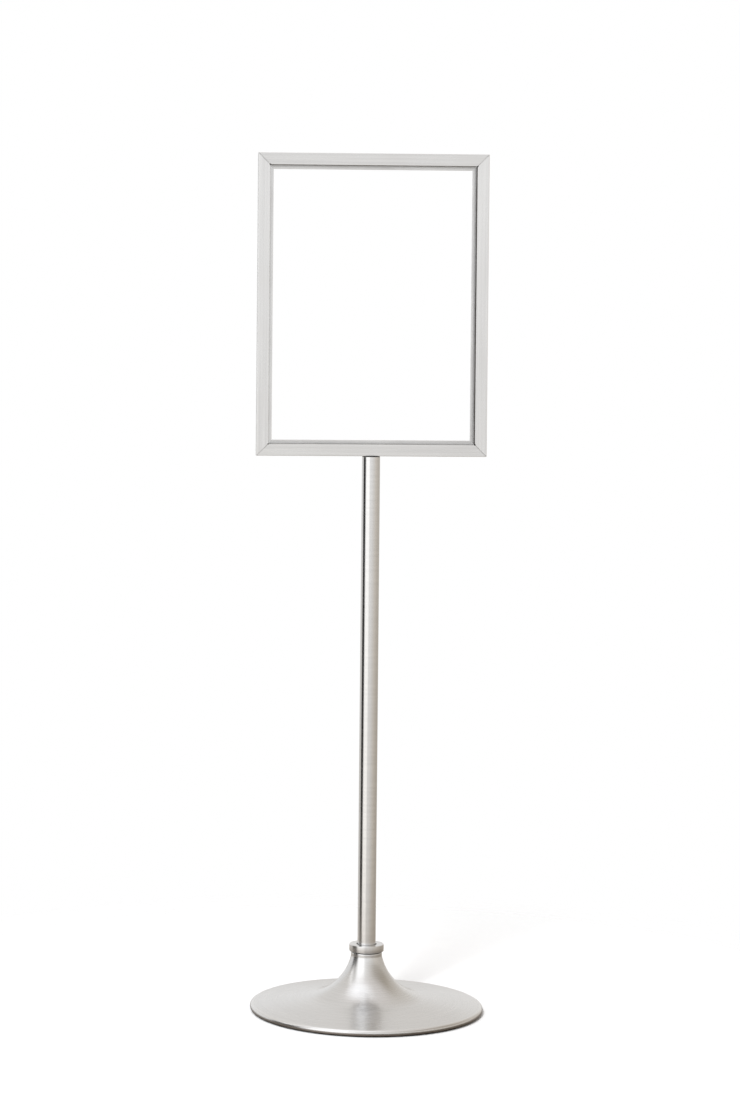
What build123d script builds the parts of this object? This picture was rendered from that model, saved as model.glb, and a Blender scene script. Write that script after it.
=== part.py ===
from build123d import *
from math import acos, atan2, cos, degrees, sin, sqrt
import os

# A free-standing sign holder: a round weighted base under a trumpet-shaped cover, a round post that
# turns in the base's neck, and an upright frame of mitred channel that holds a stiff sign board.
# Millimetres. +Z is up, the origin is on the floor under the post's axis, and the front faces -Y.

# ---------------------------------------------------------------- driving dimensions
# the frame that holds the sign
overall_height = 1200.0        # floor to the top of the frame
frame_width = 322.0
frame_height = 421.0
rail_depth = 16.0              # front face to rear face of the channel
rail_sheet = 1.5               # thickness of the folded sheet
rail_bend = 0.5                # inside radius of the folds
rail_corner = 0.8              # outside radius, kept crisp by a groove scored before folding
front_lip = 16.5               # width of the channel's front face
rear_lip = 22.0                # the rear face reaches further in and backs the sign
mitre_gap = 0.3                # hairline left between two mitred ends
mitre_notch = 1.1              # radius of the relief where two front lips meet

# the angle-shaped keys inside the frame's corners
key_thickness = 5.0
key_leg = 42.0                 # length of each leg, from the corner
key_corner = 2.0               # bevel on the key's outer corner
key_slide_clearance = 0.3      # sliding leg of a top key to the side rail's web
key_screw_distance = 30.0      # from the corner to the screw, along the leg

# the frame's small screws
small_screw_radius = 1.5
small_head_radius = 2.75
small_screw_length = 8.0
small_recess_depth = 0.8
lock_head_radius = 2.8         # round head of the screws that hold the lift-off rail
lock_head_height = 1.6
lock_slack = 0.3               # tip to what it clamps, while it is slackened
recess_share = 0.45            # corner radius of a drive recess over its head's radius

# the joint between the frame and the post
saddle_length = 60.0
saddle_thickness = 4.0
frame_screw_radius = 3.0
frame_screw_head_radius = 5.6
frame_screw_length = 20.0
frame_screw_recess = 2.0
gasket_thickness = 1.0
gasket_inset = 0.6             # gasket's edge inside the post's outer face

# the post
post_radius = 12.7
post_wall = 2.0
top_plug_length = 18.0
foot_plug_length = 26.0

# the ring on top of the base's neck
ring_height = 9.5
ring_bottom = 84.5             # height of the ring's lower face
ring_overhang = 2.3            # ring's edge outside the neck
ring_bulge = 0.2               # how far the ring's side swells
ring_bevel = 0.5
ring_mouth = 1.4               # width of the recess around the post at the ring's top
ring_mouth_depth = 2.0
ring_spigot_length = 8.0       # the part of the ring that stands inside the neck
post_lock_radius = 2.0
post_lock_sink = 0.8           # outer end of the lock screw below the ring's side
post_lock_drop = 0.8           # screw's axis below the ring's mid height
post_lock_recess = 1.6

# the trumpet-shaped cover of the base
base_radius = 163.0
cover_sheet = 1.5
cover_lift = 1.0               # rim above the floor
rim_radius = 4.4               # roundness of the rim
hem_width = 5.0                # sheet turned in under the weight
neck_offset = 9.0              # neck's outer face outside the post
neck_gap = 1.5                 # shadow gap under the ring
neck_straight = 5.7            # short upright stretch at the top of the neck
flare_radius = 75.0            # hollow curve between the neck and the dish
flare_foot = 19.4              # height of that curve's lowest point

# the cast weight, its pad and the socket that holds the post
weight_clearance = 0.5         # weight to the inside of the cover
weight_web = 6.3               # metal left above the bolt head's pocket
pocket_radius = 14.0
pad_thickness = 2.0
pad_hole_radius = 20.0
pad_hem_clearance = 1.0
socket_flange_radius = 36.0
socket_flange_thickness = 6.0
socket_wall = 4.5
socket_screw_count = 4
socket_screw_edge = 8.5        # screw's axis inside the flange's edge
socket_screw_radius = 3.0
socket_screw_length = 14.0
socket_head_radius = 5.0
socket_head_height = 4.0
socket_head_recess = 2.0

# the bolt that ties the post down and lets it turn
bolt_radius = 5.0
bolt_head_across_flats = 16.0
bolt_head_height = 6.4
bolt_engagement = 20.0         # length of bolt inside the foot plug
bolt_washer_radius = 10.0
bolt_washer_thickness = 2.0
thrust_thickness = 1.5

# fits, all of them radial
running_clearance = 0.05       # the turning post and bolt in their bores
thread_clearance = 0.05        # a screw in its threaded hole
press_clearance = 0.02         # a plug in the post
hole_clearance = 0.3           # a screw in a plain hole
ring_clearance = 0.1           # the ring's spigot in the neck

hole_extra_depth = 2.0         # a threaded hole below the end of its screw
cut_margin = 1.0               # how far a cutter runs past the face it opens

# ---------------------------------------------------------------- worked-out places
half_depth = rail_depth / 2
half_width = frame_width / 2
slot_half = half_depth - rail_sheet
key_half = slot_half - rail_bend
key_screw_inward = rail_sheet + key_thickness / 2
lock_screw_inward = key_screw_inward + key_slide_clearance
frame_bottom = overall_height - frame_height
frame_middle = frame_bottom + frame_height / 2
web_inside = frame_bottom + rail_sheet
saddle_top = web_inside + saddle_thickness
frame_screw_tip = saddle_top - frame_screw_length

post_top = frame_bottom - gasket_thickness
plug_radius = post_radius - post_wall - press_clearance
bore_radius = post_radius + running_clearance

neck_radius = post_radius + neck_offset
neck_inside = neck_radius - cover_sheet
neck_top = ring_bottom - neck_gap
flare_top = neck_top - neck_straight
flare_z = flare_foot + flare_radius
flare_r = neck_radius + sqrt(flare_radius**2 - (flare_z - flare_top) ** 2)
rim_r = base_radius - rim_radius
rim_z = cover_lift + rim_radius
hem_inner = rim_r - hem_width
ring_radius = neck_radius + ring_overhang
ring_top = ring_bottom + ring_height
socket_top = ring_bottom - ring_spigot_length


def dish_direction():
    """Angle of the line from the flare's centre, square to the dish that touches flare and rim."""
    across = rim_r - flare_r
    down = rim_z - flare_z
    return atan2(down, across) - acos((flare_radius + rim_radius) / sqrt(across**2 + down**2))


dish_angle = dish_direction()
rim_sweep = 90 + 180 + degrees(dish_angle)     # from the rim's lowest point round to the dish


def flare_touch(inside):
    """Where the dish leaves the flare, on the surface that lies `inside` under the outer one."""
    reach = flare_radius + inside
    return flare_r + reach * cos(dish_angle), flare_z + reach * sin(dish_angle)


def rim_touch(inside):
    """Where the dish meets the rounded rim, on the surface that lies `inside` under the outer one."""
    reach = rim_radius - inside
    return rim_r - reach * cos(dish_angle), rim_z - reach * sin(dish_angle)


weight_inside = cover_sheet + weight_clearance
weight_top = flare_touch(weight_inside)[1]
pocket_top = weight_top - weight_web
socket_floor = weight_top + socket_flange_thickness
post_foot = socket_floor + thrust_thickness
bolt_head_top = pocket_top - bolt_washer_thickness
bolt_tip = post_foot + bolt_engagement


# ---------------------------------------------------------------- helpers
def rod(radius, low, high):
    """Upright cylinder on the Z axis between two heights."""
    return Pos(0, 0, (low + high) / 2) * Cylinder(radius, high - low)


def tube(outer, inner, low, high):
    """Upright hollow cylinder on the Z axis between two heights."""
    return rod(outer, low, high) - rod(inner, low - cut_margin, high + cut_margin)


def turned(*edges):
    """Solid of revolution about Z, from edges drawn as (radius, height)."""
    return revolve(Plane.XZ * make_face(Curve() + list(edges)), Axis.Z)


def turned_outline(*points):
    """Solid of revolution about Z, from a closed outline of (radius, height) points."""
    return turned(Polyline(*points, close=True))


def drive_recess(head_radius, depth):
    """Cutter for a hexagon recess, sunk below z = 0."""
    outline = RegularPolygon(head_radius * recess_share, 6)
    return Pos(0, 0, -depth) * extrude(outline, depth + cut_margin)


def countersunk_screw(radius, head_radius, length, recess):
    """Screw along -Z with the face of its 90 degree head at z = 0."""
    cone = head_radius - radius
    body = turned_outline((0, 0), (head_radius, 0), (radius, -cone), (radius, -length), (0, -length))
    return body - drive_recess(head_radius, recess)


def round_head_screw(radius, head_radius, head_height, length, recess):
    """Screw along -Z with its cylindrical head above z = 0."""
    body = rod(radius, -length, 0) + rod(head_radius, 0, head_height)
    return body - Pos(0, 0, head_height) * drive_recess(head_radius, recess)


def countersink(radius, head_radius, depth, clearance):
    """Cutter for a countersunk hole; the screw's head lies flush with z = 0."""
    wide = head_radius + thread_clearance
    narrow = radius + clearance
    outline = ((0, cut_margin), (wide, cut_margin), (wide, 0), (narrow, narrow - wide))
    return turned_outline(*outline, (narrow, -depth), (0, -depth))


# ---------------------------------------------------------------- the sign frame
def rail_place(side):
    """Frame of one rail: x runs along it, y inwards from its outer face, z towards the front."""
    places = {
        "top": ((0, 0, overall_height), (-1, 0, 0)),
        "bottom": ((0, 0, frame_bottom), (1, 0, 0)),
        "left": ((-half_width, 0, frame_middle), (0, 0, -1)),
        "right": ((half_width, 0, frame_middle), (0, 0, 1)),
    }
    origin, along = places[side]
    return Location(Plane(origin=origin, x_dir=along, z_dir=(0, -1, 0)))


def rail_length(side):
    return frame_width if side in ("top", "bottom") else frame_height


def screw_along(side):
    """Distance from a rail's middle to the screw in a corner key's leg."""
    return rail_length(side) / 2 - rail_sheet - key_screw_distance


def on_rear_lip(side, along, inward):
    """Place on a rail's rear face, for a screw or hole that is made along -Z."""
    return rail_place(side) * Pos(along, inward, -half_depth) * Rot(X=180)


def channel_section():
    """Section of the folded sheet: x is the distance inwards, y the depth with the front at +y."""
    section = Polygon(
        (0, -half_depth),
        (rear_lip, -half_depth),
        (rear_lip, -slot_half),
        (rail_sheet, -slot_half),
        (rail_sheet, slot_half),
        (front_lip, slot_half),
        (front_lip, half_depth),
        (0, half_depth),
        align=None,
    )
    near = rail_bend / 10
    outer_folds = [v for v in section.vertices() if abs(v.X) < near]
    section = fillet(outer_folds, rail_corner)
    on_web = [v for v in section.vertices() if abs(v.X - rail_sheet) < near]
    inner_folds = [v for v in on_web if abs(abs(v.Y) - slot_half) < near]
    return fillet(inner_folds, rail_bend)


def rail(side, keyed_ends, lock_ends):
    """Mitred channel, notched at the front corners; its rear lip has countersunk and plain holes."""
    half_length = rail_length(side) / 2
    blank = extrude(Plane.YZ * channel_section(), half_length, both=True)
    outer = half_length - mitre_gap / sqrt(2)
    inner = outer - rear_lip
    mitre = Polygon((-outer, 0), (outer, 0), (inner, rear_lip), (-inner, rear_lip), align=None)
    body = rail_place(side) * (blank & extrude(mitre, half_depth, both=True))
    through = rail_sheet + cut_margin
    keyed_hole = countersink(small_screw_radius, small_head_radius, through, thread_clearance)
    lock_hole = rod(small_screw_radius + thread_clearance, -through, cut_margin)
    notch = rod(mitre_notch, 0, half_depth + cut_margin)
    for end in (-1, 1):
        body -= rail_place(side) * Pos(end * (half_length - front_lip), front_lip) * notch
    for end in keyed_ends:
        body -= on_rear_lip(side, end * screw_along(side), key_screw_inward) * keyed_hole
    for end in lock_ends:
        body -= on_rear_lip(side, end * screw_along(side), lock_screw_inward) * lock_hole
    return body


def bottom_rail():
    """The lower rail, drilled through its web for the screw into the post."""
    hole = rod(frame_screw_radius + hole_clearance, frame_bottom - cut_margin, web_inside + cut_margin)
    return rail("bottom", (-1, 1), ()) - hole


def corner_key(horizontal, vertical):
    """Flat bar bent to an angle behind one mitre; the signs tell which corner of the frame."""
    is_top = vertical > 0
    gap = key_slide_clearance if is_top else 0.0
    inner = gap + key_thickness
    outline = Polygon(
        (gap + key_corner, 0),
        (key_leg, 0),
        (key_leg, key_thickness),
        (inner, key_thickness),
        (inner, key_leg),
        (gap, key_leg),
        (gap, key_corner),
        align=None,
    )
    body = extrude(outline, key_half, both=True)
    hole = rod(small_screw_radius + thread_clearance, -half_depth, half_depth)
    body -= Pos(key_screw_distance, key_thickness / 2, 0) * hole
    if not is_top:
        body -= Pos(key_thickness / 2, key_screw_distance, 0) * hole
    corner = (
        horizontal * (half_width - rail_sheet),
        0,
        frame_middle + vertical * (frame_height / 2 - rail_sheet),
    )
    place = Plane(origin=corner, x_dir=(-horizontal, 0, 0), z_dir=(0, -horizontal * vertical, 0))
    return Location(place) * body


def key_screws(*places):
    """Countersunk screws from the rear lips into the keys; each place is (side, end)."""
    screw = countersunk_screw(
        small_screw_radius, small_head_radius, small_screw_length, small_recess_depth
    )
    return Compound([on_rear_lip(s, end * screw_along(s), key_screw_inward) * screw for s, end in places])


def side_lock_screws():
    """Round-headed screws that clamp the top keys' upright legs, drawn slackened."""
    length = half_depth - key_half - lock_slack
    screw = round_head_screw(
        small_screw_radius, lock_head_radius, lock_head_height, length, small_recess_depth
    )
    ends = (("left", -1), ("right", 1))
    return Compound([on_rear_lip(s, end * screw_along(s), lock_screw_inward) * screw for s, end in ends])


def saddle_plate():
    """Stiffener inside the bottom rail that spreads the pull of the frame screw."""
    plate = Pos(0, 0, (web_inside + saddle_top) / 2) * Box(saddle_length, 2 * key_half, saddle_thickness)
    through = saddle_thickness + cut_margin
    sink = countersink(frame_screw_radius, frame_screw_head_radius, through, thread_clearance)
    return plate - Pos(0, 0, saddle_top) * sink


def frame_screw():
    screw = countersunk_screw(
        frame_screw_radius, frame_screw_head_radius, frame_screw_length, frame_screw_recess
    )
    return Pos(0, 0, saddle_top) * screw


def frame_gasket():
    return tube(post_radius - gasket_inset, frame_screw_radius + hole_clearance, post_top, frame_bottom)


# ---------------------------------------------------------------- the post
def post_tube():
    return tube(post_radius, post_radius - post_wall, post_foot, post_top)


def post_top_plug():
    """Plug pressed into the post's top, threaded for the frame screw."""
    plug = rod(plug_radius, post_top - top_plug_length, post_top)
    hole_end = frame_screw_tip - hole_extra_depth
    return plug - rod(frame_screw_radius + thread_clearance, hole_end, frame_bottom)


def post_foot_plug():
    """Plug pressed into the post's foot, threaded for the base bolt."""
    plug = rod(plug_radius, post_foot, post_foot + foot_plug_length)
    return plug - rod(bolt_radius + thread_clearance, post_foot - cut_margin, bolt_tip + hole_extra_depth)


def base_bolt():
    """Hexagon bolt from below; it turns with the post."""
    outline = RegularPolygon(bolt_head_across_flats / 2, 6, major_radius=False)
    head = Pos(0, 0, bolt_head_top - bolt_head_height) * extrude(outline, bolt_head_height)
    return head + rod(bolt_radius, bolt_head_top - cut_margin, bolt_tip)


# ---------------------------------------------------------------- the base
def base_cover():
    """Spun shell: straight neck, hollow flare, shallow dish and a rim rolled in under the weight."""
    edges = []
    for inside in (0.0, cover_sheet):
        neck = neck_radius - inside
        reach = flare_radius + inside
        start_z = flare_z - sqrt(reach**2 - (flare_r - neck) ** 2)
        start = degrees(atan2(start_z - flare_z, neck - flare_r))
        edges += [
            Line((neck, neck_top), (neck, start_z)),
            CenterArc((flare_r, flare_z), reach, start, degrees(dish_angle) - start),
            Line(flare_touch(inside), rim_touch(inside)),
            CenterArc((rim_r, rim_z), rim_radius - inside, -90, rim_sweep),
            Line((rim_r, cover_lift + inside), (hem_inner, cover_lift + inside)),
        ]
    edges.append(Line((neck_radius, neck_top), (neck_inside, neck_top)))
    edges.append(Line((hem_inner, cover_lift), (hem_inner, cover_lift + cover_sheet)))
    return turned(*edges)


def base_weight():
    """Cast disc that fills the dish and keeps the stand upright, with a pocket for the bolt's head."""
    edge_radius = rim_radius - weight_inside
    hole = bolt_radius + hole_clearance
    step = hem_inner - weight_clearance
    rim_low = rim_z - edge_radius
    top_edge = flare_touch(weight_inside)
    body = turned(
        Polyline((rim_r, rim_low), (step, rim_low), (step, pad_thickness), (pocket_radius, pad_thickness)),
        Polyline((pocket_radius, pad_thickness), (pocket_radius, pocket_top), (hole, pocket_top)),
        Polyline((hole, pocket_top), (hole, weight_top), top_edge, rim_touch(weight_inside)),
        CenterArc((rim_r, rim_z), edge_radius, -90, rim_sweep),
    )
    hole_end = socket_floor - socket_screw_length - hole_extra_depth
    return body - at_socket_screws(
        rod(socket_screw_radius + thread_clearance, hole_end, weight_top + cut_margin)
    )


def bottom_pad():
    """Rubber sheet under the weight; the stand rests on it."""
    return tube(hem_inner - pad_hem_clearance, pad_hole_radius, 0, pad_thickness)


def at_socket_screws(shape):
    """Copies of a shape on the flange's circle of screws."""
    circle = PolarLocations(socket_flange_radius - socket_screw_edge, socket_screw_count)
    return Compound([place * shape for place in circle])


def post_socket():
    """Flanged hub screwed to the weight; the post turns in its bore."""
    body = rod(socket_flange_radius, weight_top, socket_floor)
    body += rod(bore_radius + socket_wall, weight_top, socket_top)
    body -= rod(bore_radius, socket_floor, socket_top + cut_margin)
    body -= rod(bolt_radius + running_clearance, weight_top - cut_margin, socket_floor + cut_margin)
    return body - at_socket_screws(
        rod(socket_screw_radius + hole_clearance, weight_top - cut_margin, socket_floor + cut_margin)
    )


def socket_screws():
    screw = round_head_screw(
        socket_screw_radius, socket_head_radius, socket_head_height, socket_screw_length, socket_head_recess
    )
    return at_socket_screws(Pos(0, 0, socket_floor) * screw)


def thrust_washer():
    """Plain bearing washer between the post's foot and the socket's floor."""
    return tube(post_radius, bolt_radius + hole_clearance, socket_floor, post_foot)


def base_washer():
    return tube(bolt_washer_radius, bolt_radius + hole_clearance, bolt_head_top, pocket_top)


def post_lock_place():
    """Frame whose +Z points out of the back of the ring, along the lock screw."""
    return Pos(0, 0, ring_bottom + ring_height / 2 - post_lock_drop) * Rot(X=-90)


def neck_ring():
    """Turned ring that caps the neck and steadies the post."""
    mouth = bore_radius + ring_mouth
    mouth_floor = ring_top - ring_mouth_depth
    spigot = neck_inside - ring_clearance
    low = (ring_radius, ring_bottom + ring_bevel)
    high = (ring_radius, ring_top - ring_bevel)
    body = turned(
        Polyline((bore_radius, socket_top), (spigot, socket_top), (spigot, ring_bottom)),
        Polyline((spigot, ring_bottom), (ring_radius - ring_bevel, ring_bottom), low),
        ThreePointArc(low, (ring_radius + ring_bulge, (low[1] + high[1]) / 2), high),
        Polyline(high, (ring_radius - ring_bevel, ring_top), (mouth, ring_top), (mouth, mouth_floor)),
        Polyline((mouth, mouth_floor), (bore_radius, mouth_floor - ring_mouth), (bore_radius, socket_top)),
    )
    return body - post_lock_place() * rod(post_lock_radius + thread_clearance, 0, ring_radius + cut_margin)


def post_lock_screw():
    """Headless screw in the back of the ring, drawn slackened so that the post can turn."""
    outer_end = ring_radius - post_lock_sink
    body = rod(post_lock_radius, post_radius + lock_slack, outer_end)
    return post_lock_place() * (body - Pos(0, 0, outer_end) * drive_recess(post_lock_radius, post_lock_recess))


# ---------------------------------------------------------------- the assembly
nodes = {
    "top_rail": rail("top", (-1, 1), ()),
    "bottom_rail": bottom_rail(),
    "left_rail": rail("left", (1,), (-1,)),
    "right_rail": rail("right", (-1,), (1,)),
    "top_left_corner_key": corner_key(-1, 1),
    "top_right_corner_key": corner_key(1, 1),
    "bottom_left_corner_key": corner_key(-1, -1),
    "bottom_right_corner_key": corner_key(1, -1),
    "top_key_screws": key_screws(("top", -1), ("top", 1)),
    "bottom_key_screws": key_screws(("bottom", -1), ("bottom", 1), ("left", 1), ("right", -1)),
    "side_lock_screws": side_lock_screws(),
    "saddle_plate": saddle_plate(),
    "frame_screw": frame_screw(),
    "frame_gasket": frame_gasket(),
    "post_tube": post_tube(),
    "post_top_plug": post_top_plug(),
    "post_foot_plug": post_foot_plug(),
    "base_bolt": base_bolt(),
    "base_washer": base_washer(),
    "thrust_washer": thrust_washer(),
    "post_socket": post_socket(),
    "socket_screws": socket_screws(),
    "neck_ring": neck_ring(),
    "post_lock_screw": post_lock_screw(),
    "base_cover": base_cover(),
    "base_weight": base_weight(),
    "bottom_pad": bottom_pad(),
}

os.makedirs("parts", exist_ok=True)
for name, shape in nodes.items():
    export_step(shape, f"parts/{name}.step")
    print(name, round(shape.volume), "mm3")
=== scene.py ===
# %% [markdown]
# # A stainless sign stand
# The stand is a picture-style frame of folded channel on a round post, and the post turns in a heavy
# round base under a spun trumpet-shaped cover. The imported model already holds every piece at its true
# size, so this lesson only makes the pieces that show as fine surfaces, gives every piece its metal,
# rubber or iron, and lights them as a small photo studio would.

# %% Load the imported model
import math

import bmesh
import bpy
import numpy as np
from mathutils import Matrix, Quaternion, Vector


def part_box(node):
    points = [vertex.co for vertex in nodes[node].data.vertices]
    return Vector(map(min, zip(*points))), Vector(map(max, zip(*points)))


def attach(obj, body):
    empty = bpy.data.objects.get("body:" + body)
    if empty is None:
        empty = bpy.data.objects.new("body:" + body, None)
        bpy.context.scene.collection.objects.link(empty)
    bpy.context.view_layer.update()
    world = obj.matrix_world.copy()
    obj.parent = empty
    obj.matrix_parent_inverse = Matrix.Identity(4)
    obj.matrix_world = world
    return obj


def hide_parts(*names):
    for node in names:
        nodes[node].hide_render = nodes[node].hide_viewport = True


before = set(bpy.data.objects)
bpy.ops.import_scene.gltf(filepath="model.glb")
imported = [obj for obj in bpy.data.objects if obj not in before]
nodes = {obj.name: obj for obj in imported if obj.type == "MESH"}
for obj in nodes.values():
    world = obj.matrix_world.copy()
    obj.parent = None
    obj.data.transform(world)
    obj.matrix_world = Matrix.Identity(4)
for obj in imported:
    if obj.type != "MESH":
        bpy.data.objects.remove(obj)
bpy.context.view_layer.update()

MM = 0.001
sheet = 1.5 * MM  # the rails and the cover are made of sheet this thick
CLEARANCE = 0.05 * MM


def box_corners(node):
    """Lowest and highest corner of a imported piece, as arrays."""
    low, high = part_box(node)
    return np.array(low), np.array(high)


print("pieces in the packed model:", len(nodes))

# %% [markdown]
# ## How a surface becomes a mesh
# Every new piece here is a surface with two parameters. One runs round the piece's outline and the
# other runs along it, the way the lines of the finish run. All the points are worked out as one numpy
# array, and one helper turns that array into faces. Typing in vertices one by one, or starting from a
# stock cylinder, would give no say in where the points lie, and polished metal shows every badly
# placed point.

# %% Helper: a grid of points becomes a mesh
def grid_faces(rows, columns, rows_closed, columns_closed):
    """Quads of a rows x columns grid, and the share of the way (along, round) at each quad's corners.

    A closed direction joins its last line to its first, and its share runs on to 1 there."""
    row_steps = rows if rows_closed else rows - 1
    column_steps = columns if columns_closed else columns - 1
    i, j = np.meshgrid(np.arange(row_steps), np.arange(column_steps), indexing="ij")
    around = ((0, 0), (1, 0), (1, 1), (0, 1))
    quads = [(i + a) % rows * columns + (j + b) % columns for a, b in around]
    shares = [np.stack([(j + b) / column_steps, (i + a) / row_steps], axis=-1) for a, b in around]
    return np.stack(quads, axis=-1).reshape(-1, 4), np.stack(shares, axis=2).reshape(-1, 2)


def face_outwards(mesh):
    """Joins points that coincide and turns every face to look out of the closed shape."""
    work = bmesh.new()
    work.from_mesh(mesh)
    bmesh.ops.remove_doubles(work, verts=work.verts, dist=1e-7)
    bmesh.ops.recalc_face_normals(work, faces=work.faces)
    work.to_mesh(mesh)
    work.free()


def make_piece(name, grid, rows_closed, columns_closed, caps=False, **attributes):
    """A smooth mesh object at the origin from a grid of points; its finish runs along the columns.

    caps closes the first and last column with one face each, mapped by x and y in sheet thicknesses.
    Each attribute has one number per row."""
    rows, columns = grid.shape[:2]
    quads, shares = grid_faces(rows, columns, rows_closed, columns_closed)
    faces = quads.tolist()
    if caps:
        for end in (0, columns - 1):
            faces.append(list(range(end, rows * columns, columns)))
            shares = np.concatenate([shares, grid[:, end, :2] / sheet])
    mesh = bpy.data.meshes.new(name)
    mesh.from_pydata(grid.reshape(-1, 3).tolist(), [], faces)
    mesh.uv_layers.new(name="lines").data.foreach_set("uv", shares.ravel())
    for label, values in attributes.items():
        layer = mesh.attributes.new(label, "FLOAT", "POINT")
        layer.data.foreach_set("value", np.repeat(np.asarray(values, np.float32), columns))
    face_outwards(mesh)
    mesh.shade_smooth()
    piece = bpy.data.objects.new(name, mesh)
    bpy.context.scene.collection.objects.link(piece)
    return piece


def keep_result(piece):
    """Replaces a piece's mesh by what its modifiers make of it, so that none is left to run."""
    bpy.context.view_layer.update()
    result = bpy.data.meshes.new_from_object(piece.evaluated_get(bpy.context.evaluated_depsgraph_get()))
    piece.modifiers.clear()
    piece.data = result


def hand_over(piece, body, node, material):
    """The piece rides on its body, stands for one CAD node and takes its material."""
    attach(piece, body)
    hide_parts(node)
    piece.data.materials.clear()
    piece.data.materials.append(material)
    low, high = box_corners(node)
    points = np.array([v.co for v in piece.data.vertices])
    off = max(np.abs(points.min(0) - low).max(), np.abs(points.max(0) - high).max())
    print(f"{piece.name}: {len(piece.data.polygons)} faces, its box within {off / MM:.2f} mm of {node}")


# %% [markdown]
# ## Outlines with round corners
# Sheet metal never folds to a sharp edge, and a cut edge is always deburred. A thin bright line on
# each of those small radii is what makes metal look like metal, so an outline here is a list of
# corners, each with its radius, and an arc takes each corner's place.

# %% Helper: an outline with rounded corners
BESIDE = 1.3  # the point beside an arc is this many times as far from the corner as the arc's end


def rounded_outline(corners, radii, steps=6):
    """Closed outline of (n, 2) points, and how worn each point is: 1 on an arc and 0 beside it.

    An arc's centre is on its corner's bisector, radius / sin(half the corner's angle) away from it, and
    its points are the two touching directions mixed by the sines of their share of the turn."""
    corners = np.asarray(corners, float)
    points, worn = [], []
    for k, radius in enumerate(radii):
        corner = corners[k]
        back = corners[k - 1] - corner
        ahead = corners[(k + 1) % len(corners)] - corner
        back_length, ahead_length = np.linalg.norm(back), np.linalg.norm(ahead)
        back, ahead = back / back_length, ahead / ahead_length
        half = math.acos(np.clip(back @ ahead, -1, 1)) / 2
        bisector = (back + ahead) / np.linalg.norm(back + ahead)
        centre = corner + bisector * radius / math.sin(half)
        reach = radius / math.tan(half)
        first, last = corner + back * reach - centre, corner + ahead * reach - centre
        turn = math.pi - 2 * half
        share = np.linspace(0, 1, steps + 1)[:, None]
        arc = (np.sin((1 - share) * turn) * first + np.sin(share * turn) * last) / math.sin(turn)
        before = corner + back * min(reach * BESIDE, (reach + back_length / 2) / 2)
        after = corner + ahead * min(reach * BESIDE, (reach + ahead_length / 2) / 2)
        points += [before[None], arc + centre, after[None]]
        worn += [0.0] + [1.0] * (steps + 1) + [0.0]
    return np.concatenate(points), np.array(worn)


# %% Helpers: turning a profile, and spacing its points
def lathe(profile, segments, axis_point=(0, 0, 0), about="Z"):
    """Grid from turning (radius, height) points about an axis: radius times cosine and sine of the turn.

    About Z the height is up, and about Y it runs towards the back."""
    turn = np.linspace(0, 2 * np.pi, segments, endpoint=False)
    radius, height = profile[:, :1], profile[:, 1:]
    across, along = radius * np.cos(turn), radius * np.sin(turn)
    level = np.broadcast_to(height, across.shape)
    order = (across, along, level) if about == "Z" else (across, level, along)
    return np.stack(order, axis=-1) + np.asarray(axis_point, float)


def add_stations(profile, values, spacing):
    """Closed profile and its values with each stretch longer than the spacing split into equal steps."""
    closed = np.concatenate([profile, profile[:1]])
    closed_values = np.concatenate([values, values[:1]])
    lengths = np.linalg.norm(np.diff(closed, axis=0), axis=1)
    counts = np.maximum(np.ceil(lengths / spacing).astype(int), 1)
    where = np.concatenate([k + np.arange(count) / count for k, count in enumerate(counts)])
    index = np.arange(len(closed))
    points = [np.interp(where, index, closed[:, k]) for k in (0, 1)]
    return np.stack(points, axis=1), np.interp(where, index, closed_values)


def path_length(profile):
    """Distance along a profile from its first point: the running sum of the steps."""
    steps = np.linalg.norm(np.diff(profile, axis=0), axis=1)
    return np.concatenate([[0.0], np.cumsum(steps)])


# %% [markdown]
# ## The metals
# All the steel on the stand is stainless, but it is finished in three ways. The rails are brushed along
# their length on a belt. The post and the ring are turned against the belt, so their lines run round
# them. The cover is rubbed with grit while it spins, which leaves rings. Brushed steel mirrors its
# surroundings sharply along the lines and blurs them across the lines, and an anisotropic shader does
# that. The lines themselves are stretched noise, fine for the grain and coarse for the streaks that
# are seen from some way off. A picture of brushed metal would repeat and would blur close up.

# %% Helper: short ways to build shader nodes
def new_material(name):
    material = bpy.data.materials.new(name)
    material.use_nodes = True
    tree = material.node_tree
    tree.nodes.clear()
    output = tree.nodes.new("ShaderNodeOutputMaterial")
    shader = tree.nodes.new("ShaderNodeBsdfPrincipled")
    tree.links.new(shader.outputs[0], output.inputs[0])
    return material, tree, shader


def feed(tree, socket, value):
    """Puts a number or colour on a socket, or links another socket to it."""
    if isinstance(value, bpy.types.NodeSocket):
        tree.links.new(value, socket)
    else:
        socket.default_value = value


def maths(tree, operation, first, second=0.0):
    node = tree.nodes.new("ShaderNodeMath")
    node.operation = operation
    for socket, value in zip(node.inputs, (first, second)):
        feed(tree, socket, value)
    return node.outputs[0]


def noise(tree, vector, scale, detail=3.0, roughness=0.55):
    node = tree.nodes.new("ShaderNodeTexNoise")
    feed(tree, node.inputs["Vector"], vector)
    node.inputs["Scale"].default_value = scale
    node.inputs["Detail"].default_value = detail
    node.inputs["Roughness"].default_value = roughness
    return node.outputs["Fac"]


def spread(tree, value, low, high, new_low, new_high):
    node = tree.nodes.new("ShaderNodeMapRange")
    feed(tree, node.inputs["Value"], value)
    numbers = {"From Min": low, "From Max": high, "To Min": new_low, "To Max": new_high}
    for socket, number in numbers.items():
        node.inputs[socket].default_value = number
    return node.outputs["Result"]


def blend_colours(tree, share, first, second):
    node = tree.nodes.new("ShaderNodeMix")
    node.data_type = "RGBA"
    factor, start, end = [s for s in node.inputs if s.enabled]
    feed(tree, factor, share)
    feed(tree, start, first)
    feed(tree, end, second)
    return [s for s in node.outputs if s.enabled][0]


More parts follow.
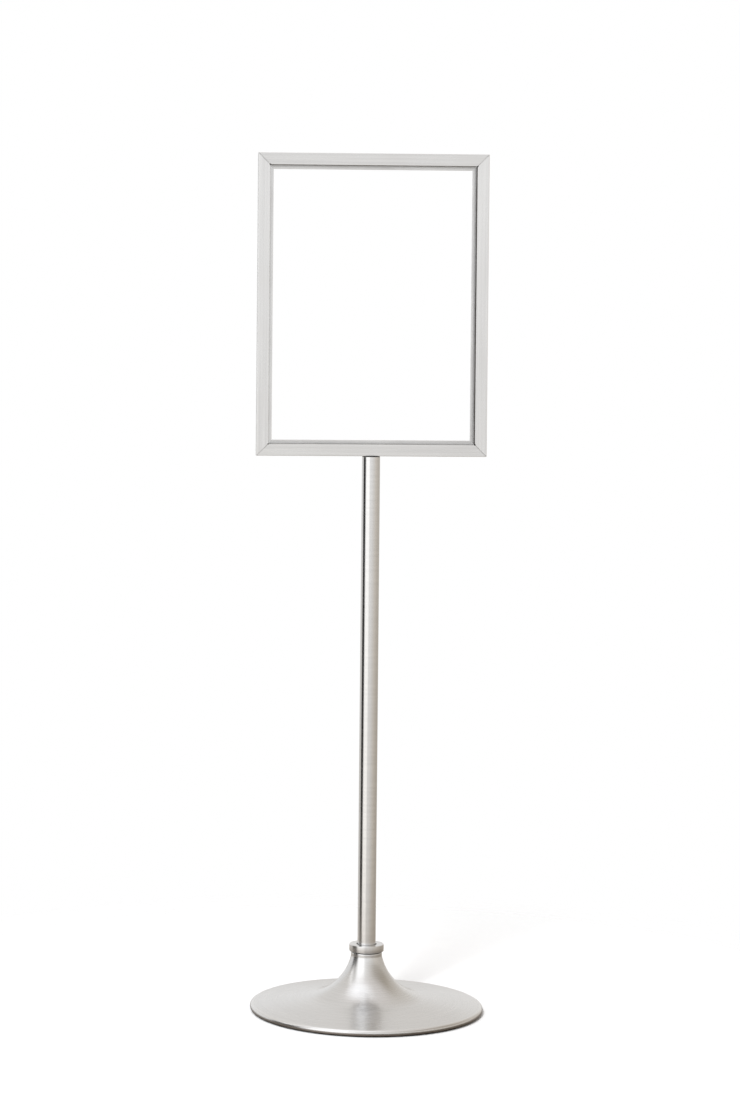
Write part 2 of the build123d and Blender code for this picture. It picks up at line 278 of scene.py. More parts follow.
def attribute(tree, label):
    node = tree.nodes.new("ShaderNodeAttribute")
    node.attribute_name = label
    return node.outputs["Fac"]


def object_point(tree):
    return tree.nodes.new("ShaderNodeTexCoord").outputs["Object"]


def split(tree, vector):
    node = tree.nodes.new("ShaderNodeSeparateXYZ")
    feed(tree, node.inputs[0], vector)
    return node.outputs[0], node.outputs[1], node.outputs[2]


def bump(tree, height, strength, distance):
    node = tree.nodes.new("ShaderNodeBump")
    node.inputs["Strength"].default_value = strength
    node.inputs["Distance"].default_value = distance
    feed(tree, node.inputs["Height"], height)
    return node.outputs["Normal"]


# %% [markdown]
# ## One recipe for brushed stainless
# Three noises share the work: a fine grain less than half a millimetre wide, streaks a few millimetres
# wide, and broad handling marks as large as a palm. The grain makes the bump and most of the change
# in roughness. The streaks shift the colour a little, and the handling marks dull the metal in
# places. The tangent comes from the piece's own map, whose first direction is the way the lines run,
# and a quarter turn of it draws the blur across them.

# %% The brushed steel recipe
STEEL_LIGHT = (0.80, 0.80, 0.80, 1)
STEEL_DARK = (0.70, 0.70, 0.702, 1)
STEEL_WORN = (0.84, 0.84, 0.84, 1)
# painted shade: the dark colour for slots, recesses and undersides, where shade falls
STEEL_PAINTED_SHADE = (0.16, 0.145, 0.135, 1)


def brushed_steel(name, grain_point, streak_point, rough, blur, grain_height=0.12, streaky=1.0):
    """Stainless steel; the grain and streak points, made from the tree, change slowly along its lines."""
    material, tree, shader = new_material(name)
    grain = noise(tree, grain_point(tree), 1.0, 4.0, 0.6)
    streak = noise(tree, streak_point(tree), 1.0, 3.0, 0.5)
    palm = noise(tree, object_point(tree), 14.0, 3.0, 0.5)
    tone = spread(tree, streak, 0.3, 0.7, 0.5 - streaky / 2, 0.5 + streaky / 2)
    colour = blend_colours(tree, tone, STEEL_DARK, STEEL_LIGHT)
    colour = blend_colours(tree, attribute(tree, "wear"), colour, STEEL_WORN)
    # painted shade: where a piece's "inside" mark is 1, the colour turns to the dark shade colour
    colour = blend_colours(tree, attribute(tree, "inside"), colour, STEEL_PAINTED_SHADE)
    feed(tree, shader.inputs["Base Color"], colour)
    shader.inputs["Metallic"].default_value = 1.0
    roughness = spread(tree, grain, 0.25, 0.75, rough - 0.05, rough + 0.06)
    dulled = spread(tree, palm, 0.45, 0.7, 0.0, 0.05)
    # the painted shade is also made a little duller
    dulled = maths(tree, "ADD", dulled, maths(tree, "MULTIPLY", attribute(tree, "inside"), 0.2))
    feed(tree, shader.inputs["Roughness"], maths(tree, "ADD", roughness, dulled))
    shader.inputs["Anisotropic"].default_value = blur
    shader.inputs["Anisotropic Rotation"].default_value = 0.25
    tangent = tree.nodes.new("ShaderNodeTangent")
    tangent.direction_type = "UV_MAP"
    tangent.uv_map = "lines"
    feed(tree, shader.inputs["Tangent"], tangent.outputs[0])
    coarse = maths(tree, "MULTIPLY", streak, 0.4 * streaky)
    height = maths(tree, "ADD", maths(tree, "MULTIPLY", grain, 0.6), coarse)
    feed(tree, shader.inputs["Normal"], bump(tree, height, grain_height, 0.12 * MM))
    return material


def straight_lines(scale):
    """Object coordinates multiplied one by one, so that lines run along the one with the small number."""

    def build(tree):
        node = tree.nodes.new("ShaderNodeMapping")
        feed(tree, node.inputs["Vector"], object_point(tree))
        node.inputs["Scale"].default_value = scale
        return node.outputs["Vector"]

    return build


def round_lines(turning, across):
    """Lines round the Z axis: x and y change slowly, and the distance along the profile changes fast."""

    def build(tree):
        x, y = split(tree, object_point(tree))[:2]
        join = tree.nodes.new("ShaderNodeCombineXYZ")
        feed(tree, join.inputs[0], maths(tree, "MULTIPLY", x, turning))
        feed(tree, join.inputs[1], maths(tree, "MULTIPLY", y, turning))
        feed(tree, join.inputs[2], maths(tree, "MULTIPLY", attribute(tree, "path"), across))
        return join.outputs[0]

    return build


# %% The five steels, named by how they are finished
across_grain, across_streak = straight_lines((18, 2500, 2500)), straight_lines((4, 260, 260))
upright_grain, upright_streak = straight_lines((2500, 2500, 18)), straight_lines((260, 260, 4))
post_grain, post_streak = round_lines(60, 2600), round_lines(20, 240)
ring_grain, ring_streak = round_lines(60, 3000), round_lines(20, 500)
cover_grain, cover_streak = round_lines(14, 2200), round_lines(5, 420)
rail_finish = dict(rough=0.27, blur=0.6)
post_finish = dict(rough=0.17, blur=0.55, grain_height=0.08, streaky=0.5)
ring_finish = dict(rough=0.22, blur=0.55, grain_height=0.08, streaky=0.6)
cover_finish = dict(rough=0.24, blur=0.6, grain_height=0.10, streaky=0.4)
across_steel = brushed_steel("steel_brushed_across", across_grain, across_streak, **rail_finish)
upright_steel = brushed_steel("steel_brushed_upright", upright_grain, upright_streak, **rail_finish)
post_steel = brushed_steel("steel_belted_post", post_grain, post_streak, **post_finish)
ring_steel = brushed_steel("steel_turned_ring", ring_grain, ring_streak, **ring_finish)
cover_steel = brushed_steel("steel_spun_cover", cover_grain, cover_streak, **cover_finish)
print("steels:", [m.name for m in bpy.data.materials if m.name.startswith("steel")])

# %% [markdown]
# ## The hidden and the humble materials
# The keys, plugs and socket are zinc-plated bar, the screws are plain stainless, and the weight is
# rough iron with a dip coat of dark paint. Rubber carries the stand on the floor and seals the post's
# top. They are seen only in gaps, from behind or from below, but a flat grey there would give the
# whole stand away, so each gets its own colour change, roughness and surface.

# %% Zinc, screw steel, iron, rubber and nylon
def speckled(name, dark, light, metallic, rough, rough_change, cell, height, distance):
    """A surface with an even speckle: two sizes of noise shift the colour, the roughness and the bump."""
    material, tree, shader = new_material(name)
    point = object_point(tree)
    fine = noise(tree, point, cell, 4.0, 0.6)
    broad = noise(tree, point, cell / 12, 3.0, 0.5)
    share = spread(tree, maths(tree, "ADD", fine, broad), 0.7, 1.3, 0.0, 1.0)
    feed(tree, shader.inputs["Base Color"], blend_colours(tree, share, dark, light))
    shader.inputs["Metallic"].default_value = metallic
    roughness = spread(tree, broad, 0.3, 0.7, rough - rough_change, rough + rough_change)
    feed(tree, shader.inputs["Roughness"], roughness)
    feed(tree, shader.inputs["Normal"], bump(tree, fine, height, distance * MM))
    return material


ZINC_DARK, ZINC_LIGHT = (0.42, 0.43, 0.44, 1), (0.60, 0.61, 0.62, 1)
SCREW_DARK, SCREW_LIGHT = (0.50, 0.49, 0.48, 1), (0.66, 0.65, 0.64, 1)
IRON_DARK, IRON_LIGHT = (0.018, 0.018, 0.019, 1), (0.045, 0.044, 0.043, 1)
RUBBER_DARK, RUBBER_LIGHT = (0.010, 0.010, 0.011, 1), (0.028, 0.027, 0.027, 1)
NYLON_DARK, NYLON_LIGHT = (0.62, 0.60, 0.54, 1), (0.74, 0.72, 0.66, 1)
zinc = speckled("zinc_plate", ZINC_DARK, ZINC_LIGHT, 1.0, 0.36, 0.08, 900, 0.15, 0.05)
screw_steel = speckled("plain_screw_steel", SCREW_DARK, SCREW_LIGHT, 1.0, 0.28, 0.06, 2500, 0.1, 0.03)
iron = speckled("painted_iron", IRON_DARK, IRON_LIGHT, 0.0, 0.55, 0.12, 420, 0.5, 0.3)
rubber = speckled("black_rubber", RUBBER_DARK, RUBBER_LIGHT, 0.0, 0.72, 0.08, 1400, 0.3, 0.1)
nylon = speckled("natural_nylon", NYLON_DARK, NYLON_LIGHT, 0.0, 0.45, 0.06, 1200, 0.1, 0.05)

zinc_nodes = [n for n in nodes if "corner_key" in n or "plug" in n] + ["saddle_plate", "post_socket"]
screw_nodes = [n for n in nodes if "screw" in n] + ["base_bolt", "base_washer"]
plain_nodes = {
    zinc: zinc_nodes,
    screw_steel: screw_nodes,
    iron: ["base_weight"],
    rubber: ["bottom_pad", "frame_gasket"],
    nylon: ["thrust_washer"],
}
for material, names in plain_nodes.items():
    for name in names:
        nodes[name].data.materials.clear()
        nodes[name].data.materials.append(material)
    print(material.name, "on", ", ".join(names))

# %% [markdown]
# ## The four rails
# Each rail is one strip of 1.5 mm sheet folded to a channel: a web outside, a narrow lip in front and
# a wider lip behind, with the sign's slot between them. It is cut at 45 degrees at both ends. A box
# with a groove would hide the folds. Here the channel's outline, with its round folds and deburred
# lips, is carried along the rail, and every outline point stops where the mitre plane cuts it, which
# is as far short of the end as the point lies inwards.

# %% Sizes of the channel
rail_low, rail_high = box_corners("left_rail")
frame_low, frame_high = box_corners("bottom_rail")[0], box_corners("top_rail")[1]
half_depth = (rail_high[1] - rail_low[1]) / 2
rear_lip = rail_high[0] - rail_low[0]
front_lip = 16.5 * MM
inner_fold, outer_fold = 0.5 * MM, 0.8 * MM
deburred = 0.3 * MM
mitre_gap = 0.3 * MM
half_width = -rail_low[0]
frame_middle = (frame_low[2] + frame_high[2]) / 2
half_height = (frame_high[2] - frame_low[2]) / 2
print("frame", round(2 * half_width / MM, 1), "by", round(2 * half_height / MM, 1), "mm")

# %% The channel's outline
slot_half = half_depth - sheet
channel_corners = [
    (0, -half_depth),
    (rear_lip, -half_depth),
    (rear_lip, -slot_half),
    (sheet, -slot_half),
    (sheet, slot_half),
    (front_lip, slot_half),
    (front_lip, half_depth),
    (0, half_depth),
]
channel_radii = [outer_fold, deburred, deburred, inner_fold, inner_fold, deburred, deburred, outer_fold]
channel, channel_wear = add_stations(*rounded_outline(channel_corners, channel_radii), MM)
# Painted shade: the slot's inner faces, all but the strip of rear lip that shows past the front lip, are
# marked "inside" and take the dark colour of the shade in the slot.
in_slot = (channel[:, 0] > sheet - MM / 10) & (np.abs(channel[:, 1]) < slot_half + MM / 10)
shown = (channel[:, 0] > front_lip - MM / 2) & (channel[:, 1] < 0)
slot_painted_shade = (in_slot & ~shown).astype(float)
print("channel outline:", len(channel), "points")

# %% A rail from its outline
STATIONS = 9
UP, DOWN, LEFT, RIGHT = (0, 0, 1), (0, 0, -1), (-1, 0, 0), (1, 0, 0)
RAILS = {
    "top": dict(origin=(0, 0, frame_high[2]), along=LEFT, inward=DOWN, half=half_width),
    "bottom": dict(origin=(0, 0, frame_low[2]), along=RIGHT, inward=UP, half=half_width),
    "left": dict(origin=(-half_width, 0, frame_middle), along=DOWN, inward=RIGHT, half=half_height),
    "right": dict(origin=(half_width, 0, frame_middle), along=UP, inward=LEFT, half=half_height),
}


def rail_grid(origin, along, inward, half):
    """Outline point (w inwards, d forwards) runs from -(half - w) to +(half - w) along the rail."""
    w, d = channel[:, 0], channel[:, 1]
    reach = (half - mitre_gap / math.sqrt(2) - w)[:, None] * np.linspace(-1, 1, STATIONS)
    across = w[:, None] * np.array(inward, float) - d[:, None] * np.array([0, 1.0, 0])
    return np.array(origin, float) + across[:, None, :] + reach[..., None] * np.array(along, float)


# %% [markdown]
# ### Holes for the screws
# The rear lips are drilled for the screws that hold the corner keys. A cutter is turned about each
# screw's axis and taken away from the rail, so the countersunk heads sit in real hollows. The edges
# that are left, of the holes and of the mitred ends, then get a bevel of about a tenth of a millimetre.

# %% Cutting and bevelling
HOLE_SEGMENTS = 40


def screw_cutter(x, z, head_radius, shank_radius):
    """Cone and shank turned about Y at a rail's rear face; the cone falls in by as much as it narrows."""
    cone_end = half_depth - (head_radius - shank_radius)
    profile = np.array([
        (0, half_depth + MM),
        (head_radius, half_depth + MM),
        (head_radius, half_depth),
        (shank_radius, cone_end),
        (shank_radius, half_depth - 2 * sheet),
        (0, half_depth - 2 * sheet),
    ])
    return make_piece("cutter", lathe(profile, HOLE_SEGMENTS, (x, 0, z), about="Y"), False, True)


def cut_and_bevel(piece, cutters, bevel):
    """Takes the cutters away, rounds the sharp edges and lets the large faces set the shading."""
    for cutter in cutters:
        cut = piece.modifiers.new("hole", "BOOLEAN")
        cut.operation = "DIFFERENCE"
        cut.solver = "EXACT"
        cut.object = cutter
    edge = piece.modifiers.new("edge", "BEVEL")
    edge.width = bevel
    edge.segments = 2
    edge.limit_method = "ANGLE"
    edge.angle_limit = math.radians(40)
    edge.use_clamp_overlap = False
    piece.modifiers.new("shading", "WEIGHTED_NORMAL")
    keep_result(piece)
    for cutter in cutters:
        bpy.data.objects.remove(cutter)


# %% Where the screws are
SHANK_RADIUS = 1.55 * MM
top_low, top_high = box_corners("top_key_screws")
key_low, key_high = box_corners("bottom_key_screws")
lock_low, lock_high = box_corners("side_lock_screws")
head_radius = (top_high[2] - top_low[2]) / 2
lock_radius = (lock_high[2] - lock_low[2]) / 2
level_x = top_high[0] - head_radius
sides_x = key_high[0] - head_radius
lock_x = lock_high[0] - lock_radius
wide = head_radius + CLEARANCE
holes = {
    "top": [(sign * level_x, top_low[2] + head_radius, wide) for sign in (-1, 1)],
    "bottom": [(sign * level_x, key_low[2] + head_radius, wide) for sign in (-1, 1)],
}
for side, sign in (("left", -1), ("right", 1)):
    key_hole = (sign * sides_x, key_high[2] - head_radius, wide)
    lock_hole = (sign * lock_x, lock_low[2] + lock_radius, SHANK_RADIUS)
    holes[side] = [key_hole, lock_hole]
print("holes in the rear lips:", sum(len(places) for places in holes.values()))

# %% [markdown]
# ### Notches in the corners
# Where two front lips meet at a corner of the window, a small round relief is cut through both. It is
# seen as a dark dot at the end of each mitre, and its cutter is one more turned profile.

# %% Notches where two front lips meet
NOTCH_RADIUS, NOTCH_SEGMENTS = 1.1 * MM, 32
notch_x, notch_z = half_width - front_lip, half_height - front_lip
notches = [(right * notch_x, frame_middle + up * notch_z) for right in (-1, 1) for up in (-1, 1)]
print("notches:", len(notches))


def notch_cutter(x, z):
    """Rod turned about Y from mid depth to just in front of the frame: one radius between two poles."""
    front = -half_depth - MM
    profile = np.array([(0, 0), (NOTCH_RADIUS, 0), (NOTCH_RADIUS, front), (0, front)])
    return make_piece("cutter", lathe(profile, NOTCH_SEGMENTS, (x, 0, z), about="Y"), False, True)


# %% [markdown]
# ### The rails take shape
# All four rails come out of one loop, so that they can't differ. Only the bottom rail has one more
# hole, for the screw that holds the frame to the post, and only the top rail rides on the body that
# lifts off.

# %% The four rails
POST_SCREW_HOLE = 3.3 * MM
RAIL_BEVEL = 0.12 * MM
RAIL_BODIES = {"top": "lift_off_rail"}
for side, place in RAILS.items():
    marks = dict(wear=channel_wear * 0.5, inside=slot_painted_shade)
    piece = make_piece(f"{side}_rail_sheet", rail_grid(**place), True, False, caps=True, **marks)
    cutters = [screw_cutter(x, z, radius, SHANK_RADIUS) for x, z, radius in holes[side]]
    cutters += [notch_cutter(x, z) for x, z in notches]
    if side == "bottom":
        below, above = -sheet, 2 * sheet
        rod = np.array([(0, below), (POST_SCREW_HOLE, below), (POST_SCREW_HOLE, above), (0, above)])
        rod_grid = lathe(rod, HOLE_SEGMENTS, (0, 0, frame_low[2]))
        cutters.append(make_piece("cutter", rod_grid, False, True))
    cut_and_bevel(piece, cutters, RAIL_BEVEL)
    steel = across_steel if side in ("top", "bottom") else upright_steel
    hand_over(piece, RAIL_BODIES.get(side, "post_and_frame"), f"{side}_rail", steel)

# %% [markdown]
# ## The post
# The post is a plain tube, so all its character is in the surface: fine lines round it from the belt.
# Its top edge is eased so that it catches light above the dark gasket.

# %% The post
POST_SEGMENTS, POST_SPACING = 128, 20 * MM
POST_EDGE, POST_WALL = 0.3 * MM, 2.0 * MM
post_low, post_high = box_corners("post_tube")
post_radius = post_high[0]
post_inside = post_radius - POST_WALL
post_corners = [
    (post_radius, post_low[2]),
    (post_radius, post_high[2]),
    (post_inside, post_high[2]),
    (post_inside, post_low[2]),
]
post_profile, post_wear = rounded_outline(post_corners, [POST_EDGE] * len(post_corners))
post_profile, post_wear = add_stations(post_profile, post_wear, POST_SPACING)
post_grid = lathe(post_profile, POST_SEGMENTS)
post = make_piece("post_surface", post_grid, True, True, wear=post_wear * 0.5, path=post_profile[:, 1])
hand_over(post, "post_and_frame", "post_tube", post_steel)

# %% [markdown]
# ## The ring on the neck
# The ring is turned from bar. Its side swells a little, its edges are eased, and a recess round the
# post makes the dark line that is seen between post and ring. The recess and the underside are given
# painted shade, a darker and duller colour for the shade that falls in them. A lock screw goes into the
# ring's back, so a hole is cut there.

# %% The ring
RING_SEGMENTS, RING_BEVEL = 144, 0.1 * MM
ring_low, ring_high = box_corners("neck_ring")
ring_height, ring_bulge = 9.5 * MM, 0.2 * MM
ring_radius = ring_high[0] - ring_bulge
ring_bottom, ring_top = ring_high[2] - ring_height, ring_high[2]
neck_radius = post_radius + 9.0 * MM
spigot_radius = neck_radius - sheet - 0.1 * MM
bore_radius = post_radius + CLEARANCE
mouth_width, mouth_depth = 1.4 * MM, 2.0 * MM
mouth_radius = bore_radius + mouth_width
side_share = np.linspace(0, 1, 9)
swell = ring_bulge * np.sin(np.pi * side_share)
ring_side = np.stack([ring_radius + swell, ring_bottom + ring_height * side_share], axis=1)
ring_corners = [(bore_radius, ring_low[2]), (spigot_radius, ring_low[2]), (spigot_radius, ring_bottom)]
ring_corners += ring_side.tolist()
ring_corners += [
    (mouth_radius, ring_top),
    (mouth_radius, ring_top - mouth_depth),
    (bore_radius, ring_top - mouth_depth - mouth_width),
]
eased = [0.2, 0.2, 0.1, 0.5] + [0.3] * (len(side_share) - 2) + [0.5, 0.4, 0.1, 0.2]
ring_profile, ring_wear = rounded_outline(ring_corners, [e * MM for e in eased], 5)
# Painted shade: the underside and the recess round the post are marked "inside" for the dark colour of the
# shade that falls there.
under_ring = ring_profile[:, 1] < ring_bottom + CLEARANCE
in_mouth = (ring_profile[:, 0] < mouth_radius + CLEARANCE) & (ring_profile[:, 1] < ring_top - MM / 2)
ring_marks = dict(
    wear=ring_wear * 0.3,
    path=path_length(ring_profile),
    inside=(under_ring | in_mouth).astype(float),
)
ring = make_piece("ring_surface", lathe(ring_profile, RING_SEGMENTS), True, True, **ring_marks)

# %% The lock screw's hole
set_low, set_high = box_corners("post_lock_screw")
set_radius, set_z = (set_high[2] - set_low[2]) / 2 + CLEARANCE, (set_low[2] + set_high[2]) / 2
drill_front, drill_back = 10 * MM, 30 * MM
drill_side = [(set_radius, drill_front), (set_radius, drill_back)]
drill = np.array([(0, drill_front), *drill_side, (0, drill_back)])
drill_grid = lathe(drill, HOLE_SEGMENTS, (0, 0, set_z), about="Y")
cut_and_bevel(ring, [make_piece("cutter", drill_grid, False, True)], RING_BEVEL)
hand_over(ring, "base", "neck_ring", ring_steel)

# %% [markdown]
# ## The trumpet cover
# The cover is spun from one disc of sheet over a form: a short upright neck, a hollow curve, a
# shallow dish and a rim rolled in under the weight. Seen from the side, that is an arc, a straight
# line that touches it, and a small arc, so the profile is worked out as just those. Points placed
# by hand along it would leave dents, which a polished surface shows at once.

# %% The cover's profile
cover_low, cover_high = box_corners("base_cover")
rim_radius, hem_width = 4.4 * MM, 5.0 * MM
flare_radius, flare_foot = 75.0 * MM, 19.4 * MM
neck_straight, lip_edge = 5.7 * MM, 0.35 * MM
flare_top = cover_high[2] - neck_straight
flare_z = flare_foot + flare_radius
flare_r = neck_radius + math.sqrt(flare_radius**2 - (flare_z - flare_top) ** 2)
rim_r, rim_z = cover_high[0] - rim_radius, cover_low[2] + rim_radius
across, down = rim_r - flare_r, rim_z - flare_z
tangent_turn = math.acos((flare_radius + rim_radius) / math.hypot(across, down))
dish_angle = math.atan2(down, across) - tangent_turn


def arc_points(centre, radius, first, last, steps):
    """Points on a circle: the centre plus radius times cosine and sine of each angle."""
    angle = np.linspace(first, last, steps + 1)
    return np.array(centre) + radius * np.stack([np.cos(angle), np.sin(angle)], axis=1)


def cover_side(inside):
    """One side of the sheet from the neck's top to the hem, `inside` deeper than the outer side."""
    neck = neck_radius - inside
    reach = flare_radius + inside
    start_z = flare_z - math.sqrt(reach**2 - (flare_r - neck) ** 2)
    start = math.atan2(start_z - flare_z, neck - flare_r)
    upright_z = np.linspace(cover_high[2] - lip_edge, start_z, 4, endpoint=False)
    upright = np.stack([np.full(len(upright_z), neck), upright_z], axis=1)
    flare = arc_points((flare_r, flare_z), reach, start, dish_angle, 64)
    rim = arc_points((rim_r, rim_z), rim_radius - inside, dish_angle + math.pi, -math.pi / 2, 18)
    share = np.linspace(0, 1, 40)[1:-1, None]
    dish = flare[-1] + share * (rim[0] - flare[-1])
    hem = np.array([(rim_r - hem_width, cover_low[2] + inside)])
    return np.concatenate([upright, flare, dish, rim, hem])


outer, inner = cover_side(0.0), cover_side(sheet)
lip = np.array([
    (neck_radius - sheet + lip_edge, cover_high[2]),
    (neck_radius - lip_edge, cover_high[2]),
])
cover_profile = np.concatenate([outer, inner[::-1], lip])
dish_slope = round(math.degrees(dish_angle) + 90, 1)
print("cover profile:", len(cover_profile), "points, dish slope", dish_slope, "degrees")

# %% The cover
COVER_SEGMENTS = 288
RIM_POINTS, RIM_WEAR = 20, 0.6  # the outer side ends in the rim, which shoes and mops rub
cover_wear = np.zeros(len(cover_profile))
cover_wear[len(outer) - RIM_POINTS:len(outer)] = RIM_WEAR
# Painted shade: the whole inner side of the sheet, under the cover, is marked "inside" and takes the dark
# shade colour.
cover_marks = dict(
    wear=cover_wear,
    path=path_length(cover_profile),
    inside=(np.arange(len(cover_profile)) >= len(outer)).astype(float),
)
cover = make_piece("cover_surface", lathe(cover_profile, COVER_SEGMENTS), True, True, **cover_marks)
hand_over(cover, "base", "base_cover", cover_steel)

# %% [markdown]
# ## The floor
# A plain pale round of floor carries the stand and takes its soft shadow, and it thins out to nothing
# before its edge, so that no line shows there. Steel mirrors the floor too. A white floor would drown
# the studio's darker strips in the post, so what the steel mirrors of it is a warm waxed board that
# carries the room's strips on. Close to the stand the board is painted dark, a painted shade round the
# stand's foot, which draws the dark line under the rim.

# %% The floor
FLOOR_RADIUS, FLOOR_RINGS, FLOOR_SEGMENTS = 0.9, 12, 96
# painted shade: the dark board near the stand is painted shade, and it fades out between these distances
SHADE_FADES = (0.20, 0.45)  # from this distance to that one, the dark board turns into the light one
FLOOR_FADES = (0.45, 0.85)  # and here the floor thins out
WHITE_SHEET = (0.87, 0.882, 0.90, 1)
WARM_DARK, WARM_LIGHT = (0.62, 0.57, 0.51, 1), (0.74, 0.69, 0.63, 1)
WARM_SHADE = (0.20, 0.17, 0.145, 1)
floor_rings = np.array([(r, 0.0) for r in np.linspace(0, FLOOR_RADIUS, FLOOR_RINGS)])
floor = make_piece("floor", lathe(floor_rings, FLOOR_SEGMENTS), False, True)
floor_material, tree, shader = new_material("pale_floor")
boards = spread(tree, noise(tree, object_point(tree), 3.0), 0.3, 0.7, 0.0, 1.0)
mirrored = blend_colours(tree, boards, WARM_DARK, WARM_LIGHT)
x, y = split(tree, object_point(tree))[:2]
x_squared, y_squared = (maths(tree, "MULTIPLY", v, v) for v in (x, y))
distance = maths(tree, "SQRT", maths(tree, "ADD", x_squared, y_squared))
# Painted shade: towards the stand the mirrored board darkens into WARM_SHADE, for the shade round its
# foot.
mirrored = blend_colours(tree, spread(tree, distance, *SHADE_FADES, 0.0, 1.0), WARM_SHADE, mirrored)
seen = tree.nodes.new("ShaderNodeLightPath").outputs["Is Camera Ray"]
feed(tree, shader.inputs["Base Color"], blend_colours(tree, seen, mirrored, WHITE_SHEET))
feed(tree, shader.inputs["Metallic"], maths(tree, "SUBTRACT", 1.0, seen))
feed(tree, shader.inputs["Roughness"], spread(tree, seen, 0.0, 1.0, 0.35, 0.9))
feed(tree, shader.inputs["Alpha"], spread(tree, distance, *FLOOR_FADES, 1.0, 0.0))
floor.data.materials.append(floor_material)
print("floor radius", FLOOR_RADIUS, "m, fading from", FLOOR_FADES[0], "to", FLOOR_FADES[1], "m")

# %% [markdown]
# ## The studio
# Polished metal shows the room more than itself. The room here is painted on the world by compass
# angle in two bands, because the upright pieces mirror it near the horizon and the flare mirrors it
# higher up. Both bands have a bright softbox to the left of the camera. Beyond it the low band has a
# narrow black gap, which draws the dark stripe down the post, and the high band has a thin light
# line. On the right both fall off into warm shade. Above the bands is a grey ceiling with one bright
# panel, which carries the flare's highlight down to the dish. The camera itself sees plain white, and
# a soft lamp high on the left, which the metal doesn't mirror, gives the floor its shadow.

# %% The room's brightness by compass angle: 0 is towards the camera and 90 to the right
LOW_BAND = [
    (-180, 0.88, 0.1),
    (-116, 0.84, 0.0),
    (-106, 0.04, 0.0),
    (-78, 0.03, 0.0),
    (-64, 1.45, 0.0),
    (-26, 1.48, 0.0),
    (-14, 1.03, 0.0),
    (5, 1.00, 0.0),
    (30, 0.88, 0.3),
    (60, 0.78, 0.9),
    (95, 0.64, 1.0),
    (140, 0.60, 1.0),
    (155, 0.80, 0.5),
    (180, 0.88, 0.1),
]
HIGH_BAND = [
    (-180, 0.80, 0.4),
    (-140, 0.80, 0.4),
    (-122, 0.76, 0.5),
    (-108, 0.72, 0.6),
    (-102, 1.20, 0.2),
    (-93, 1.20, 0.2),
    (-88, 0.66, 0.4),
    (-77, 0.66, 0.4),
    (-61, 1.45, 0.0),
    (-30, 1.50, 0.0),
    (-12, 0.98, 0.2),
    (7, 0.82, 0.4),
    (30, 0.64, 0.8),
    (50, 0.48, 1.2),
    (90, 0.42, 1.5),
    (110, 0.46, 1.5),
    (125, 0.56, 1.2),
    (150, 0.70, 0.8),
    (180, 0.80, 0.4),
]
WARM = np.array([1.0, 0.93, 0.84])
BRIGHTEST = 1.5
CEILING = (0.80, 0.76, 0.73, 1)
PANEL = (1.40, 1.40, 1.42, 1)
BELOW = (0.75, 0.72, 0.68, 1)
PANEL_TILT = (-0.21, 0.978)  # x and z of the direction in which the panel hangs
LOW_TO_HIGH = (0.28, 0.42)  # upward shares of a direction between which one part turns into the next
WALLS_TO_CEILING = (0.72, 0.90)
CEILING_TO_PANEL = (0.88, 0.99)  # the same, as shares towards the panel
HORIZON_TO_BELOW = (-0.02, -0.15)


def compass_band(tree, share, levels):
    """Colour by compass angle; a level is (degrees, brightness, warmth) and steps run straight between."""
    ramp = tree.nodes.new("ShaderNodeValToRGB")
    feed(tree, ramp.inputs[0], share)
    while len(ramp.color_ramp.elements) < len(levels):
        ramp.color_ramp.elements.new(1.0)
    for element, (degrees, level, warmth) in zip(ramp.color_ramp.elements, levels):
        element.position = degrees / 360 + 0.5
        element.color = (*(level / BRIGHTEST * (1 - warmth * (1 - WARM))), 1)
    scale = tree.nodes.new("ShaderNodeVectorMath")
    scale.operation = "SCALE"
    feed(tree, scale.inputs[0], ramp.outputs[0])
    scale.inputs["Scale"].default_value = BRIGHTEST
    return scale.outputs[0]


# %% The world
world = bpy.data.worlds.new("studio")
bpy.context.scene.world = world
world.use_nodes = True
tree = world.node_tree
tree.nodes.clear()
x, y, z = split(tree, tree.nodes.new("ShaderNodeTexCoord").outputs["Generated"])
angle = maths(tree, "ARCTAN2", x, maths(tree, "MULTIPLY", y, -1.0))
turn_share = maths(tree, "ADD", maths(tree, "DIVIDE", angle, 2 * math.pi), 0.5)
low_band, high_band = (compass_band(tree, turn_share, levels) for levels in (LOW_BAND, HIGH_BAND))
walls = blend_colours(tree, spread(tree, z, *LOW_TO_HIGH, 0.0, 1.0), low_band, high_band)
upwards = blend_colours(tree, spread(tree, z, *WALLS_TO_CEILING, 0.0, 1.0), walls, CEILING)
leftward, upward = (maths(tree, "MULTIPLY", v, part) for v, part in zip((x, z), PANEL_TILT))
towards_panel = maths(tree, "ADD", leftward, upward)
upwards = blend_colours(tree, spread(tree, towards_panel, *CEILING_TO_PANEL, 0.0, 1.0), upwards, PANEL)
shade = blend_colours(tree, spread(tree, z, *HORIZON_TO_BELOW, 0.0, 1.0), (1, 1, 1, 1), BELOW)
whole = tree.nodes.new("ShaderNodeVectorMath")
whole.operation = "MULTIPLY"
feed(tree, whole.inputs[0], upwards)
feed(tree, whole.inputs[1], shade)
room = tree.nodes.new("ShaderNodeBackground")
feed(tree, room.inputs["Color"], whole.outputs[0])
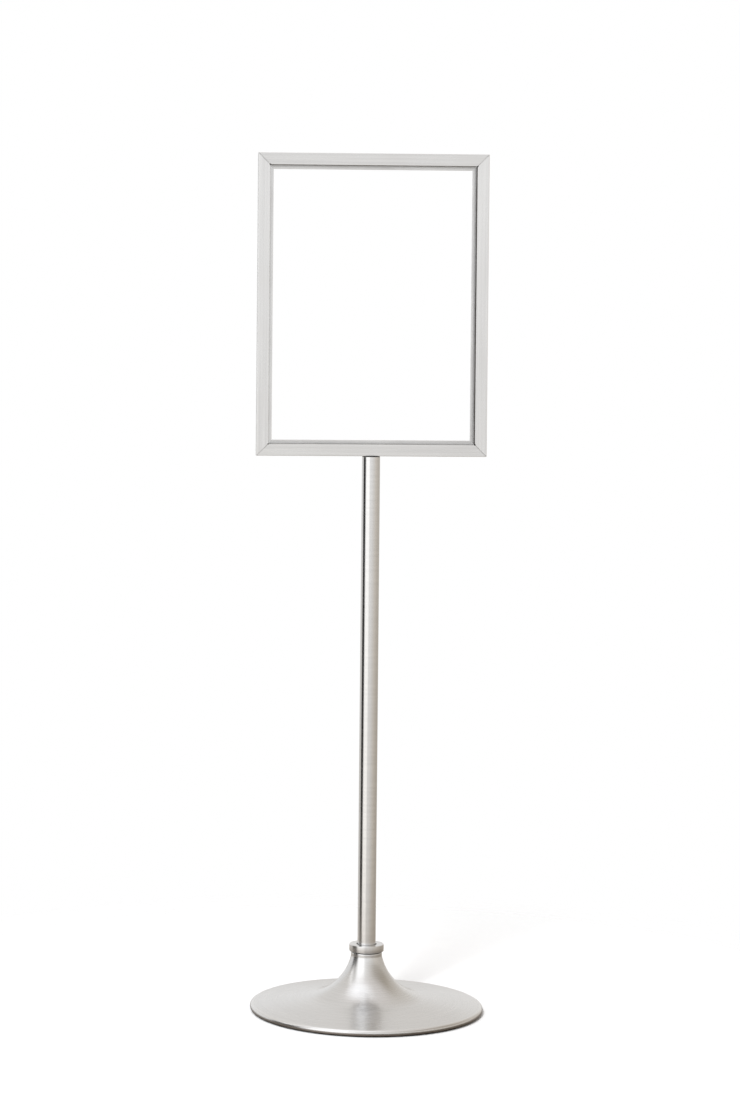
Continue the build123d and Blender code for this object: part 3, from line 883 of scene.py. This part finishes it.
backdrop = tree.nodes.new("ShaderNodeBackground")
backdrop.inputs["Color"].default_value = (1, 1, 1, 1)
mix = tree.nodes.new("ShaderNodeMixShader")
feed(tree, mix.inputs[0], tree.nodes.new("ShaderNodeLightPath").outputs["Is Camera Ray"])
feed(tree, mix.inputs[1], room.outputs[0])
feed(tree, mix.inputs[2], backdrop.outputs[0])
output = tree.nodes.new("ShaderNodeOutputWorld")
feed(tree, output.inputs["Surface"], mix.outputs[0])
print("steps in the low and high band:", len(LOW_BAND), len(HIGH_BAND))

# %% The lamp
lamp_data = bpy.data.lights.new("soft_lamp", "AREA")
lamp_data.shape = "DISK"
lamp_data.size = 0.9  # metres across
lamp_data.energy = 128.0  # watts
lamp = bpy.data.objects.new("soft_lamp", lamp_data)
lamp.location = (-1.25, -2.9, 3.0)
lamp_aim = Vector((0, 0, 0.3))
lamp.rotation_euler = (lamp_aim - lamp.location).to_track_quat("-Z", "Y").to_euler()
lamp.visible_glossy = False
bpy.context.scene.collection.objects.link(lamp)
print("lamp", round((lamp_aim - lamp.location).length, 2), "m from where it is aimed")

# %% [markdown]
# ## The camera
# A long lens stands just below the height of the frame's middle and a little to the left, so that the
# frame is seen square and the base from above. The lens is shifted as on a view camera, which keeps the
# uprights upright, and the camera leans by less than half a degree.

# %% The camera
EYE = Vector((-0.38, -4.0, 0.941))
AIM = Vector((-0.2184, 0.0, 0.8089))
LEAN = 0.0075  # radians
camera_data = bpy.data.cameras.new("camera")
camera_data.sensor_width = 36.0
camera_data.lens = 93.27  # millimetres
camera_data.shift_x = 0.1397
camera_data.shift_y = -0.1093
camera = bpy.data.objects.new("camera", camera_data)
camera.location = EYE
look = (AIM - EYE).to_track_quat("-Z", "Y")
camera.rotation_euler = (look @ Quaternion((0, 0, 1), LEAN)).to_euler()
bpy.context.scene.collection.objects.link(camera)
bpy.context.scene.camera = camera
bpy.context.scene.view_settings.view_transform = "Standard"
print("camera", round((AIM - EYE).length, 2), "m from the stand, lens", camera_data.lens, "mm")
